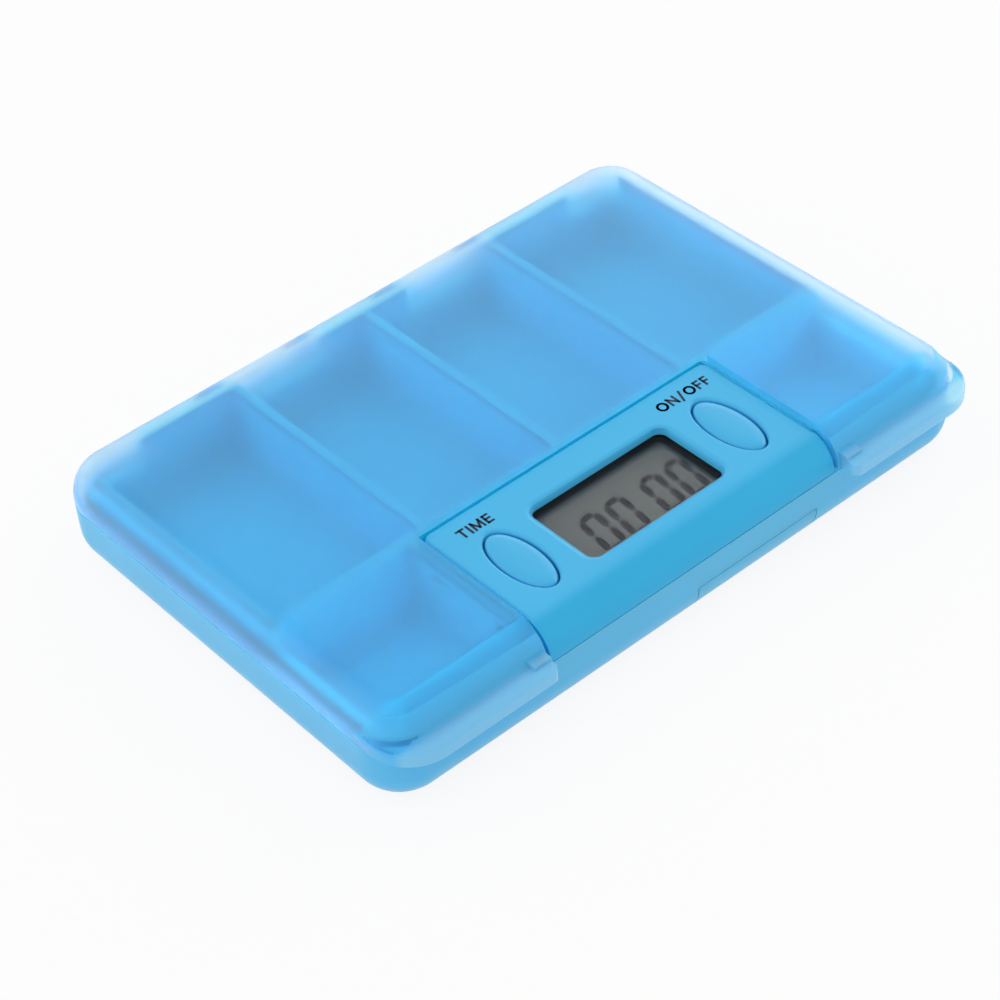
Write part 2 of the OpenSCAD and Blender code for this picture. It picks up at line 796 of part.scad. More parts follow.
module timer_cover() color([0.25, 0.68, 0.90]) {
  difference() {
    union() {
      cover_shell();
      snap_teeth();
      display_holder();
      at_screws() translate([0, 0, board_top])
        cylinder(h = cover_under - board_top + cover_wall / 3, r = boss_radius);
    }
    window_cut();
    for (s = [-1, 1]) translate([s * button_x, window_y, cover_under - overrun])
      linear_extrude(cover_wall + 2 * overrun) ellipse(button_width / 2, button_length / 2);
    at_screws() translate([0, 0, board_top - overrun])
      cylinder(h = screw_length - board_thickness + 1.5, r = screw_radius - screw_clearance / 5);
  }
}

// ---- display ----

module display_window() color([0.9, 0.95, 1, 0.3])
  translate([0, window_y, pane_z]) linear_extrude(pane_thickness)
    square([glass_width, glass_depth], center = true);

module display_gasket() color([0.05, 0.05, 0.06])
  translate([0, window_y, gasket_z]) linear_extrude(gasket_thickness) difference() {
    square([glass_width, glass_depth], center = true);
    rounded_rect(window_width + 2 * gasket_margin, window_depth + 2 * gasket_margin, window_corner);
  }

module display_glass() color([0.5, 0.53, 0.52])
  translate([0, window_y, glass_z]) linear_extrude(glass_thickness)
    square([glass_width, glass_depth], center = true);

// Segment lying along x, with pointed ends
module segment(l) {
  h = segment_width / 2;
  polygon([[-l / 2, 0], [-l / 2 + h, h], [l / 2 - h, h], [l / 2, 0], [l / 2 - h, -h], [-l / 2 + h, -h]]);
}

// The figure nought: all segments but the middle one
module digit() {
  across = digit_width - segment_width;
  half = (digit_height - segment_width) / 2;
  for (s = [-1, 1]) translate([s * half * tan(digit_lean), s * half]) segment(across - segment_gap);
  for (sx = [-1, 1], sy = [-1, 1])
    translate([sx * across / 2 + sy * half / 2 * tan(digit_lean), sy * half / 2])
      rotate(90 - digit_lean) segment(half - segment_gap);
}

module display_segments() color([0.22, 0.24, 0.27])
  translate([digits_right, window_y - digits_forward, gasket_z]) linear_extrude(segment_layer)
    for (pair = [-1, 1], place = [-1, 1])
      translate([pair * pair_pitch / 2 + place * digit_pitch / 2, 0]) digit();

module contact_strips() color([0.15, 0.15, 0.16])
  for (s = [-1, 1]) translate([0, window_y + s * (glass_depth - strip_width) / 2, board_top])
    linear_extrude(strip_thickness) square([glass_width - strip_margin, strip_width], center = true);

// ---- circuit board ----

module circuit_board() color([0.10, 0.42, 0.22])
  difference() {
    box(-board_x, board_x, board_front, board_back, board_z, board_top);
    at_screws() translate([0, 0, board_z - overrun])
      cylinder(h = board_thickness + 2 * overrun, r = screw_radius + screw_clearance);
  }

// Drop of black resin over the chip, under the board
module chip_cap() color([0.08, 0.08, 0.09]) {
  ball = (pow(chip_radius, 2) + pow(chip_height, 2)) / (2 * chip_height);
  translate([chip_x, chip_y, board_z]) mirror([0, 0, 1])
    rotate_extrude() intersection() {
      square([chip_radius + overrun, chip_height + overrun]);
      translate([0, chip_height - ball]) circle(ball, $fn = 180);
    }
}

// Watch crystal lying under the board
module crystal() color([0.75, 0.76, 0.78])
  translate([crystal_from_side - board_x, buzzer_y - crystal_length / 2, board_z - crystal_radius])
    rotate([-90, 0, 0]) cylinder(h = crystal_length, r = crystal_radius);

module capacitors() color([0.72, 0.62, 0.48]) {
  beside = chip_radius + capacitor_gap + capacitor_length / 2;
  for (p = [[-beside, 0], [beside, 0], [beside, -capacitor_pitch]])
    translate([chip_x + p.x - capacitor_length / 2, chip_y + p.y, board_z - capacitor_height])
      cube([capacitor_length, capacitor_width, capacitor_height]);
}

module switch_domes() color([0.80, 0.80, 0.82]) {
  ball = (pow(dome_radius, 2) + pow(dome_height, 2)) / (2 * dome_height);
  for (s = [-1, 1]) translate([s * button_x, window_y, board_top])
    rotate_extrude() intersection() {
      square([dome_radius + overrun, dome_height + overrun]);
      translate([0, dome_height - ball]) circle(ball, $fn = 360);
    }
}

module board_screws() color([0.78, 0.79, 0.80])
  at_screws() difference() {
    union() {
      translate([0, 0, board_z - head_height]) cylinder(h = head_height, r = head_radius);
      translate([0, 0, board_z]) cylinder(h = screw_length, r = screw_radius - screw_clearance);
    }
    for (a = [0, 90]) rotate(a) translate([0, 0, board_z - head_height])
      cube([1.7, 0.35, head_height], center = true);
  }

// ---- buttons ----

module button() {
  a = button_width / 2 - button_clearance;
  b = button_length / 2 - button_clearance;
  collar_top = cover_under - collar_gap;
  plunger_end = board_top + dome_height + dome_gap + button_travel;
  translate([0, window_y, 0]) {
    hull() {
      translate([0, 0, collar_top - collar_thickness / 2])
        linear_extrude(cover_top - rim / 2 - collar_top) ellipse(a, b);
      translate([0, 0, cover_top - rim / 3])
        linear_extrude(0.02) ellipse(a - 0.12 * rim / 0.45, b - 0.12 * rim / 0.45);
      translate([0, 0, cover_top - 0.02])
        linear_extrude(0.02) ellipse(a - rim, b - rim);
    }
    translate([0, 0, collar_top - collar_thickness])
      linear_extrude(collar_thickness) ellipse(a + collar_width, b + collar_width);
    translate([0, 0, plunger_end])
      cylinder(h = collar_top - plunger_end - collar_thickness / 2, r = plunger_radius);
  }
}

module left_button() color([0.30, 0.72, 0.93]) translate([-button_x, 0, 0]) button();

module right_button() color([0.30, 0.72, 0.93]) translate([button_x, 0, 0]) button();

// ---- battery ----

module coin_cell() color([0.78, 0.79, 0.80]) {
  translate([cell_x, cell_y, cell_z]) {
    cylinder(h = cell_thickness - can_step, r = cell_radius);
    cylinder(h = cell_thickness, r = cell_radius - can_edge);
  }
}

module negative_contact() color([0.85, 0.78, 0.50]) {
  t = contact_thickness;
  pad_x = cell_x - cell_radius + ledge + contact_gap;
  tip_x = cell_x + contact_gap;
  along_y(cell_y - contact_width / 2, cell_y + contact_width / 2)
    polygon([[pad_x, board_z], [pad_x + contact_foot + t / 2, board_z], [tip_x + t / 2, cell_top + t],
             [tip_x + contact_tip, cell_top + t], [tip_x + contact_tip, cell_top], [tip_x, cell_top],
             [pad_x + contact_foot, board_z - t], [pad_x, board_z - t]]);
}

module positive_contact() color([0.85, 0.78, 0.50]) {
  t = contact_thickness;
  edge = cell_x + cell_radius;
  along_y(cell_y - contact_width / 2, cell_y + contact_width / 2)
    polygon([[edge, cell_z + can_edge], [edge + t, cell_z + can_edge], [edge + t, board_z],
             [edge - contact_foot, board_z], [edge - contact_foot, board_z - t], [edge, board_z - t]]);
}

// Front and bottom of the door follow the rounded lower edge of the base
module door_outline() {
  r = base_edge_radius;
  translate([front_y, r]) square([door_back - front_y, r]);
  translate([front_y + r, door_lift]) square([door_back - door_clearance - front_y - r, r]);
  intersection() {
    translate([front_y + r, r]) circle(r);
    translate([front_y, door_lift]) square([2 * r, 2 * r]);
  }
}

module door_plate() {
  half = door_width / 2 - door_clearance;
  r = base_edge_radius;
  intersection() {
    union() {
      translate([cell_x, 0, 0]) along_y(front_y, door_back - door_clearance)
        polygon([[-half, door_lift], [half, door_lift], [half + door_undercut, door_lift + door_wall],
                 [-half - door_undercut, door_lift + door_wall]]);
      along_x(cell_x - half, cell_x + half) difference() {
        translate([front_y, door_lift]) square([r, door_height - door_clearance - door_lift]);
        translate([front_y + r, r]) circle(r - door_wall);
        translate([front_y + door_wall, r]) square([r, r]);
      }
    }
    along_x(cell_x - door_width, cell_x + door_width) door_outline();
  }
}

// Grooves for the fingertip, near the rounded front edge
module door_grip() {
  for (k = [0:3]) translate([cell_x, front_y + base_edge_radius + (2 * k + 1) * grip_width, door_lift])
    along_x(-grip_length / 2, grip_length / 2)
      polygon([[0, -overrun], [grip_width, -overrun], [grip_width, 0], [grip_width / 2, grip_depth], [0, 0]]);
}

module battery_door() color([0.42, 0.72, 0.93])
  difference() {
    door_plate();
    door_grip();
  }

// ---- buzzer ----

module buzzer_disc() color([0.80, 0.65, 0.30])
  translate([buzzer_x, buzzer_y, buzzer_z]) cylinder(h = buzzer_thickness, r = buzzer_radius);

module buzzer_ceramic() color([0.92, 0.90, 0.84])
  translate([buzzer_x, buzzer_y, buzzer_z + buzzer_thickness])
    cylinder(h = ceramic_thickness, r = ceramic_radius);

// Wire in an [x, z] plane: up from the buzzer, round a bend, across, and up to the board
module wire(foot, reach) {
  turn = wire_bend;
  straight = (board_z - foot.z) / 2 - turn;
  translate(foot) {
    cylinder(h = straight, r = wire_radius);
    translate([turn, 0, straight]) rotate([90, 0, 0]) rotate(90)
      rotate_extrude(angle = 90) translate([turn, 0]) circle(wire_radius);
    translate([turn, 0, straight + turn]) rotate([0, 90, 0])
      cylinder(h = reach - 2 * turn, r = wire_radius);
    translate([reach - turn, 0, straight + 2 * turn]) rotate([90, 0, 0]) rotate(-90)
      rotate_extrude(angle = 90) translate([turn, 0]) circle(wire_radius);
    translate([reach, 0, straight + 2 * turn]) cylinder(h = straight, r = wire_radius);
  }
}

module buzzer_wires() color([0.75, 0.10, 0.10]) {
  top = buzzer_z + buzzer_thickness;
  rim_middle = (ceramic_radius + buzzer_radius) / 2;
  wire([buzzer_x + ceramic_radius / 2, buzzer_y - wire_offset, top + ceramic_thickness], hot_wire);
  wire([buzzer_x + wire_offset, buzzer_y - rim_middle, top], ground_wire);
}

base_tray();
compartments();
lid();
timer_cover();
display_window();
display_gasket();
display_glass();
display_segments();
contact_strips();
circuit_board();
chip_cap();
crystal();
capacitors();
switch_domes();
left_button();
right_button();
board_screws();
coin_cell();
positive_contact();
negative_contact();
battery_door();
buzzer_disc();
buzzer_ceramic();
buzzer_wires();
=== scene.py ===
# Flat pocket pill organiser with a translucent flip-up lid and a reminder timer,
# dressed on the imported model. Metres throughout; every piece keeps its place in its mesh.
import math
import bpy
import bmesh
from mathutils import Matrix, Vector


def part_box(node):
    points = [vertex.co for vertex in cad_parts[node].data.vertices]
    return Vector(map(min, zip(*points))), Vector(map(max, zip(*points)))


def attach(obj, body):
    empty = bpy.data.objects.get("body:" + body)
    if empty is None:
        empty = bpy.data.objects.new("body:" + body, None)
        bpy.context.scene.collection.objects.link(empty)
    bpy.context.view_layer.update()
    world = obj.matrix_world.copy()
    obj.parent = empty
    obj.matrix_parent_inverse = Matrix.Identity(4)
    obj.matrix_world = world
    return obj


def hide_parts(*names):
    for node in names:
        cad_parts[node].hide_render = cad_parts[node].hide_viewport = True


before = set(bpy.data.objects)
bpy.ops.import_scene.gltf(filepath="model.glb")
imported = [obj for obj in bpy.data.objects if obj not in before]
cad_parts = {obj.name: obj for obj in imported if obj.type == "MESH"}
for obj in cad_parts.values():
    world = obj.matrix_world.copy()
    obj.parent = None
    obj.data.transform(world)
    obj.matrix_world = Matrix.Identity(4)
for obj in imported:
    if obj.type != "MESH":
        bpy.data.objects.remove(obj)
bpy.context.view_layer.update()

scene = bpy.context.scene
scene.view_settings.view_transform = "Standard"

# ---- camera ----
# A long lens on a tripod, looking down on the closed case from the front left,
# turned a little about its own axis.

camera_azimuth, camera_elevation, camera_roll = -37.39155758, 41.62657585, -5.30988821
camera_distance = 0.372106186
camera_aside, camera_above = -0.0026319448, -0.0010601851
focal_in_frame_widths = 2.75805101

azimuth, elevation, roll = (math.radians(a) for a in (camera_azimuth, camera_elevation, camera_roll))
towards_camera = Vector((math.sin(azimuth) * math.cos(elevation),
                         -math.cos(azimuth) * math.cos(elevation), math.sin(elevation)))
level_right = (-towards_camera).cross(Vector((0, 0, 1))).normalized()
level_up = level_right.cross(-towards_camera)
camera_right = math.cos(roll) * level_right + math.sin(roll) * level_up
camera_up = -math.sin(roll) * level_right + math.cos(roll) * level_up

camera_lens = bpy.data.cameras.new("camera")
camera_lens.sensor_width = 36
camera_lens.lens = 36 * focal_in_frame_widths
camera_lens.clip_start = 0.01
camera = bpy.data.objects.new("camera", camera_lens)
scene.collection.objects.link(camera)
camera_frame = Matrix((camera_right, camera_up, towards_camera)).transposed().to_4x4()
camera_frame.translation = (towards_camera * camera_distance + level_right * camera_aside
                            + level_up * camera_above)
camera.matrix_world = camera_frame
scene.camera = camera

# ---- studio ----
# A white table that runs out of sight, a white room round it, and five soft boxes: a large
# one above to the left, a small one low on the right, and three weak ones round the case.

table_size = 6.0
table_colour = (0.86, 0.86, 0.86, 1)
table_own_light = 0.88
room_light = 0.80
ceiling_glow = 0.05
ceiling_from, ceiling_to = 0.42, 0.85


def feed(tree, socket, value):
    """Links a socket to another one, or sets it to a plain value."""
    if isinstance(value, bpy.types.NodeSocket):
        tree.links.new(value, socket)
    else:
        socket.default_value = value


def calculated(tree, operation, *values):
    """The result of a sum on sockets or numbers."""
    node = tree.nodes.new("ShaderNodeMath")
    node.operation = operation
    for socket, value in zip(node.inputs, values):
        feed(tree, socket, value)
    return node.outputs[0]


def ramped(tree, value, start=0.0, end=1.0, first=0.0, last=1.0, smooth=True):
    """Goes from first to last while the value goes from start to end."""
    node = tree.nodes.new("ShaderNodeMapRange")
    if smooth:
        node.interpolation_type = "SMOOTHSTEP"
    for name, number in (("From Min", start), ("From Max", end), ("To Min", first), ("To Max", last)):
        node.inputs[name].default_value = number
    tree.links.new(value, node.inputs["Value"])
    return node.outputs["Result"]


def blended(tree, share, first, second, kind="RGBA", blend="MIX"):
    """Passes from the first colour or number to the second as share goes from 0 to 1."""
    node = tree.nodes.new("ShaderNodeMix")
    node.data_type, node.blend_type = kind, blend
    for name, value in (("Factor", share), ("A", first), ("B", second)):
        feed(tree, node.inputs[name], value)
    return node.outputs["Result"]


def placed(name, shape, material):
    """Turns a finished bmesh into an object of one material."""
    mesh = bpy.data.meshes.new(name)
    shape.to_mesh(mesh)
    shape.free()
    mesh.materials.append(material)
    piece = bpy.data.objects.new(name, mesh)
    scene.collection.objects.link(piece)
    return piece


table_finish = bpy.data.materials.new("white_table")
table_finish.use_nodes = True
tree = table_finish.node_tree
tree.nodes.clear()
matt = tree.nodes.new("ShaderNodeBsdfDiffuse")
matt.inputs["Color"].default_value = table_colour
glow = tree.nodes.new("ShaderNodeEmission")
glow.inputs["Strength"].default_value = 1.0
# the table glows only for rays that see it directly, in gloss or through the clear parts
path = tree.nodes.new("ShaderNodeLightPath").outputs
seen = calculated(tree, "MAXIMUM", path["Is Camera Ray"], path["Is Glossy Ray"])
seen = calculated(tree, "MAXIMUM", seen, path["Is Transmission Ray"])
table_mix = tree.nodes.new("ShaderNodeMixShader")
tree.links.new(calculated(tree, "MULTIPLY", seen, table_own_light), table_mix.inputs[0])
tree.links.new(matt.outputs[0], table_mix.inputs[1])
tree.links.new(glow.outputs[0], table_mix.inputs[2])
table_output = tree.nodes.new("ShaderNodeOutputMaterial")
tree.links.new(table_mix.outputs[0], table_output.inputs["Surface"])

sheet = bmesh.new()
bmesh.ops.create_grid(sheet, x_segments=1, y_segments=1, size=table_size / 2)
table = placed("table", sheet, table_finish)

room = bpy.data.worlds.new("white_room")
scene.world = room
room.use_nodes = True
tree = room.node_tree
tree.nodes.clear()
room_glow = tree.nodes.new("ShaderNodeBackground")
room_glow.inputs["Color"].default_value = (1, 1, 1, 1)
direction = tree.nodes.new("ShaderNodeTexCoord")
height = tree.nodes.new("ShaderNodeSeparateXYZ")
tree.links.new(direction.outputs["Generated"], height.inputs[0])
ceiling = ramped(tree, height.outputs["Z"], ceiling_from, ceiling_to, 1.0, ceiling_glow, smooth=False)
path = tree.nodes.new("ShaderNodeLightPath").outputs
in_gloss = blended(tree, path["Is Glossy Ray"], room_light, ceiling, kind="FLOAT")
seen = calculated(tree, "MAXIMUM", path["Is Camera Ray"], path["Is Transmission Ray"])
tree.links.new(blended(tree, seen, in_gloss, 1.0, kind="FLOAT"), room_glow.inputs["Strength"])
room_output = tree.nodes.new("ShaderNodeOutputWorld")
tree.links.new(room_glow.outputs[0], room_output.inputs["Surface"])


def soft_box(name, place, width, power):
    """A square soft light aimed at the middle of the case."""
    lamp = bpy.data.lights.new(name, "AREA")
    lamp.shape = "SQUARE"
    lamp.size = width
    lamp.energy = power
    box = bpy.data.objects.new(name, lamp)
    scene.collection.objects.link(box)
    box.matrix_world = (Matrix.Translation(place)
                        @ (-Vector(place)).to_track_quat("-Z", "Y").to_matrix().to_4x4())


soft_box("soft_box_above", (-0.55, 0.30, 0.68), 1.0, 1.35)
soft_box("soft_box_right", (0.82, -0.12, 0.38), 0.5, 1.5)
soft_box("soft_box_front", (-0.25, -0.60, 0.70), 0.9, 0.2)
soft_box("soft_box_behind", (0.72, 0.60, 0.22), 0.45, 0.8)
soft_box("soft_box_left", (-0.85, 0.05, 0.22), 0.6, 0.4)

# ---- tray ----
# Lower half of the case: one injection moulding in milky blue polypropylene, satin outside,
# with the hinge ears on its back wall and the hole for the battery door in its floor.

tray_blue = (0.088, 0.515, 0.93, 1)
# painted shade: a deeper copy of the tray's blue for the inside of the pockets
inside_painted_shade_blue = (0.012, 0.55, 0.84, 1)
# painted light: a paler copy of the tray's blue for faces that should look lit
painted_light_blue = (0.03, 0.67, 1.0, 1)
milky_plastic = {"IOR": 1.49, "Subsurface Weight": 0.5, "Subsurface Radius": (0.4, 0.8, 1.0),
                 "Subsurface Scale": 0.005}
tray_edge = 0.0002
inside_margin = 0.0012
inside_floor, inside_rim = 0.0015, 0.0090
rim_from_z = 0.0092
floor_slant, rim_slant = 0.3, 0.9  # least upward part of the normal
same_point, same_upright = 2e-6, 1e-6
same_plane = math.radians(0.6)
corner_angle = 1.0
sharp_angle, sharp_angle_off_show = math.radians(35), math.radians(50)
shading_angle = math.radians(30)
corner_steps, show_steps, edge_steps = 8, 3, 2


def surface_group(name, inputs):
    """An empty group with named inputs, and colour, roughness and height as its outputs."""
    group = bpy.data.node_groups.new(name, "ShaderNodeTree")
    for label, kind, value in inputs:
        socket = group.interface.new_socket(label, in_out="INPUT", socket_type=kind)
        socket.default_value = value
    for label, kind in (("Colour", "NodeSocketColor"), ("Roughness", "NodeSocketFloat"),
                        ("Height", "NodeSocketFloat")):
        group.interface.new_socket(label, in_out="OUTPUT", socket_type=kind)
    return (group, group.nodes.new("NodeGroupInput").outputs,
            group.nodes.new("NodeGroupOutput").inputs,
            group.nodes.new("ShaderNodeTexCoord").outputs["Object"])


def noise(tree, place, scale, detail=None):
    """Soft noise at a place in the piece."""
    node = tree.nodes.new("ShaderNodeTexNoise")
    feed(tree, node.inputs["Scale"], scale)
    if detail is not None:
        node.inputs["Detail"].default_value = detail
    tree.links.new(place, node.inputs["Vector"])
    return node.outputs["Fac"]


def build_moulded_surface():
    """Fine grain of the mould, slow changes in the pigment, and gloss that varies with handling."""
    group, into, out, place = surface_group("moulded_surface", [
        ("Colour", "NodeSocketColor", (0.5, 0.5, 0.5, 1)), ("Mottle", "NodeSocketFloat", 0.04),
        ("Mottle Scale", "NodeSocketFloat", 60.0), ("Grain Scale", "NodeSocketFloat", 5000.0),
        ("Roughness", "NodeSocketFloat", 0.4), ("Gloss Spread", "NodeSocketFloat", 0.08)])
    slow = noise(group, place, into["Mottle Scale"], 3)
    swing = calculated(group, "MULTIPLY_ADD", slow, 4.0, -2.0)
    tint = calculated(group, "MULTIPLY_ADD", swing, into["Mottle"], 1.0)
    group.links.new(blended(group, 1.0, into["Colour"], tint, blend="MULTIPLY"), out["Colour"])
    touch = noise(group, place, 220, 5)
    centred = calculated(group, "SUBTRACT", touch, 0.5)
    rough = calculated(group, "MULTIPLY_ADD", centred, into["Gloss Spread"], into["Roughness"])
    group.links.new(rough, out["Roughness"])
    grain = noise(group, place, into["Grain Scale"], 2)
    group.links.new(calculated(group, "MULTIPLY_ADD", touch, 0.5, grain), out["Height"])
    return group


moulded_surface = build_moulded_surface()


def finish_with(group, name, colour, relief=0.000004, plain=None, **values):
    """A material whose colour, roughness and bump come from a surface group. The plain
    values go straight to the shader, the others to the group."""
    material = bpy.data.materials.new(name)
    material.use_nodes = True
    nodes, links = material.node_tree.nodes, material.node_tree.links
    shader = nodes["Principled BSDF"]
    for key, value in (plain or {}).items():
        shader.inputs[key].default_value = value
    surface = nodes.new("ShaderNodeGroup")
    surface.name = "surface"
    surface.node_tree = group
    surface.inputs["Colour"].default_value = colour
    for key, value in values.items():
        surface.inputs[key.replace("_", " ").title()].default_value = value
    bump = nodes.new("ShaderNodeBump")
    bump.inputs["Distance"].default_value = relief
    links.new(surface.outputs["Height"], bump.inputs["Height"])
    links.new(surface.outputs["Colour"], shader.inputs["Base Color"])
    links.new(surface.outputs["Roughness"], shader.inputs["Roughness"])
    links.new(bump.outputs["Normal"], shader.inputs["Normal"])
    return material


def softened(node, edge_width, material, show_from=None, show_width=0.0, held=True, corners=None):
    """Takes the place of a moulded node: the same shape with its sharp edges eased, and eased
    more on the show face, at and above the height show_from. There held keeps the easing from
    running into its neighbours. Where corners is given, the upright edges it picks are rounded
    first, by the radius it carries."""
    shape = bmesh.new()
    shape.from_mesh(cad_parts[node].data)
    bmesh.ops.remove_doubles(shape, verts=shape.verts, dist=same_point)
    bmesh.ops.dissolve_limit(shape, angle_limit=same_plane, use_dissolve_boundaries=False,
                             verts=shape.verts, edges=shape.edges, delimit=set())
    if corners:
        radius, at_corner = corners
        upright = [e for e in shape.edges
                   if len(e.link_faces) == 2 and e.calc_face_angle(0) > corner_angle
                   and (e.verts[0].co - e.verts[1].co).xy.length < same_upright
                   and at_corner(e.verts[0].co)]
        bmesh.ops.bevel(shape, geom=upright, offset=radius, offset_type="OFFSET", affect="EDGES",
                        segments=corner_steps, profile=0.5, clamp_overlap=False, material=-1)
    for width, on_show in ((show_width, True), (edge_width, False)):
        least = sharp_angle_off_show if show_from and not on_show else sharp_angle
        sharp = [e for e in shape.edges if len(e.link_faces) == 2 and e.calc_face_angle(0) > least
                 and (show_from is not None and min(v.co.z for v in e.verts) > show_from) == on_show]
        if sharp:
            bmesh.ops.bevel(shape, geom=sharp, offset=width, offset_type="OFFSET", affect="EDGES",
                            segments=show_steps if on_show else edge_steps, profile=0.5,
                            clamp_overlap=held or not on_show, material=-1)
    piece = placed(node + "_moulding", shape, material)
    for face in piece.data.polygons:
        face.use_smooth = True
        face.material_index = 0
    piece.data.set_sharp_from_angle(angle=shading_angle)
    flats = piece.modifiers.new("flat_faces_stay_flat", "WEIGHTED_NORMAL")
    flats.keep_sharp = True
    return piece


tray_finish = finish_with(moulded_surface, "tray_polypropylene", tray_blue, plain=milky_plastic,
                          roughness=0.34, mottle=0.03)
painted_light_finish = finish_with(moulded_surface, "tray_painted_light_polypropylene", painted_light_blue, plain=milky_plastic,
                         roughness=0.36, mottle=0.03)
inside_shade_and_light_finish = finish_with(moulded_surface, "tray_inside_painted_shade_and_light", inside_painted_shade_blue,
                           plain=milky_plastic, roughness=0.36, mottle=0.03)
tray = softened("base_tray", tray_edge, tray_finish)
tray.data.materials.append(inside_shade_and_light_finish)
tray.data.materials.append(painted_light_finish)
low, high = (Vector(corner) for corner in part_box("compartments"))
# the faces inside the pockets take the inside finish, with its painted shade and painted light
for face in tray.data.polygons:
    centre = face.center
    faces_in = (centre.x * face.normal.x + centre.y * face.normal.y < 0
                or face.normal.z > floor_slant)
    if (faces_in and inside_floor < centre.z < inside_rim
            and low.x - inside_margin < centre.x < high.x + inside_margin
            and low.y - inside_margin < centre.y < high.y + inside_margin):
        face.material_index = 1
    # painted light: the top of the front rim takes the paler copy of the blue
    elif (face.normal.z > rim_slant and centre.z > rim_from_z
          and centre.y < low.y + inside_margin):
        face.material_index = 2
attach(tray, "case")
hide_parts("base_tray")

# ---- compartment walls ----
# The walls that divide the tray into six, with the raised tabs that reach up to the lid, the
# bay for the timer, its cell deck and the ribs the timer stands on. Same blue polypropylene.

walls_edge = 0.00015
painted_shade_blue = (0.01, 0.36, 0.58, 1)
painted_shade_from, painted_shade_to = 0.0118, 0.0131
front_painted_light_blue, front_painted_light_from, front_painted_light_to = (0.03, 0.645, 0.97, 1), -0.0100, -0.0125
outer_wall = 0.0012
bay_back = (-0.0100, -0.0093)
faces_front = -0.3  # greatest forward part of the normal
side_wall_painted_shade_blue, side_walls_from = (0.010, 0.29, 0.48, 1), 0.0460
top_edge, top_edge_from = 0.0004, 0.0134


def place_in(tree):
    """X, Y and Z of a point in the piece."""
    place = tree.nodes.new("ShaderNodeTexCoord")
    axes = tree.nodes.new("ShaderNodeSeparateXYZ")
    tree.links.new(place.outputs["Object"], axes.inputs[0])
    return axes.outputs


def colour_with(material, colour):
    """Puts a calculated colour in the place of the finish's own."""
    tree = material.node_tree
    tree.links.new(colour, tree.nodes["surface"].inputs["Colour"])


# painted shade: the upper edges, close under the lid, are painted darker, and those of the side walls
# darker still
tree = inside_shade_and_light_finish.node_tree
at = place_in(tree)
upper = ramped(tree, at["Z"], painted_shade_from, painted_shade_to)
# painted light: the pockets towards the front are painted a paler blue
inside = blended(tree, ramped(tree, at["Y"], front_painted_light_from, front_painted_light_to),
                 inside_painted_shade_blue, front_painted_light_blue)
on_side_wall = calculated(tree, "GREATER_THAN", calculated(tree, "ABSOLUTE", at["X"]),
                          side_walls_from)
painted_shade_colour = blended(tree, on_side_wall, painted_shade_blue, side_wall_painted_shade_blue)
colour_with(inside_shade_and_light_finish, blended(tree, upper, inside, painted_shade_colour))
walls = softened("compartments", walls_edge, inside_shade_and_light_finish, top_edge_from, top_edge)
# painted light: the faces of the front wall and of the wall behind the timer take the paler copy of the
# blue, for light coming through them
walls.data.materials.append(painted_light_finish)
for face in walls.data.polygons:
    behind_timer = bay_back[0] < face.center.y < bay_back[1]
    if (face.center.y < low.y + outer_wall or behind_timer) and face.normal.y < faces_front:
        face.material_index = 1
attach(walls, "case")
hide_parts("compartments")

# ---- lid ----
# Flip-up lid in frosted, see-through blue polypropylene, 1.2 mm thick, with a notch for the
# timer, a thumb lip along the front, and knuckles on pins in the tray's ears.

lid_tint = (0.34, 0.82, 0.98, 1)
painted_light_rim_tint = (0.60, 0.83, 0.97, 1)
lid_edge = 0.00015
lid_gloss = {"IOR": 1.13, "Coat Weight": 0.9, "Coat Roughness": 0.3}
lid_clearness = 0.94
lid_shadow_density = 0.05
front_painted_light_tint, front_clearness = (0.11, 0.665, 0.975, 1), 0.55
front_from, front_flat = -0.0295, 0.8
lip_painted_light_tint, lip_from, lip_to = (0.35, 0.79, 1.0, 1), -0.0352, -0.0360
lip_fade, lip_margin = 0.0006, 0.0004
back_rim = (0.0234, 0.0304)
right_rim, left_rim = (0.0424, 0.0463), (-0.0488, -0.0502)
tab_spacing, tab_reach, tab_fade, tab_painted_light_share = 0.0303, 0.0078, 0.001, 0.3


def shadow_density(material, seen_density, shadow_density):
    """How solid a clear piece is to the eye, and how solid when it casts a shadow."""
    tree = material.node_tree
    shadow_ray = tree.nodes.new("ShaderNodeLightPath").outputs["Is Shadow Ray"]
    tree.links.new(ramped(tree, shadow_ray, first=seen_density, last=shadow_density, smooth=False),
                   tree.nodes["Principled BSDF"].inputs["Alpha"])


lid_finish = finish_with(moulded_surface, "lid_polypropylene", lid_tint,
                         plain={**lid_gloss, "Transmission Weight": lid_clearness},
                         roughness=0.5, mottle=0.02)
# painted light: the drawn-down sides and back are painted paler than the top
tree = lid_finish.node_tree
at = place_in(tree)
right, back, left = (ramped(tree, at[axis], *rim)
                     for axis, rim in (("X", right_rim), ("Y", back_rim), ("X", left_rim)))
# the back's painted light is weakened where the raised tabs of the walls stand under it, so the back
# stays nearly as blue as the top there
from_tab = calculated(tree, "WRAP", at["X"], tab_spacing / 2, -tab_spacing / 2)
past_tab = ramped(tree, calculated(tree, "ABSOLUTE", from_tab), tab_reach - tab_fade,
                  tab_reach + tab_fade, tab_painted_light_share)
edges = calculated(tree, "MAXIMUM", right, left)
painted_light_share = calculated(tree, "MAXIMUM", edges, calculated(tree, "MULTIPLY", back, past_tab))
colour_with(lid_finish, blended(tree, painted_light_share, lid_tint, painted_light_rim_tint))
shadow_density(lid_finish, 1.0, lid_shadow_density)

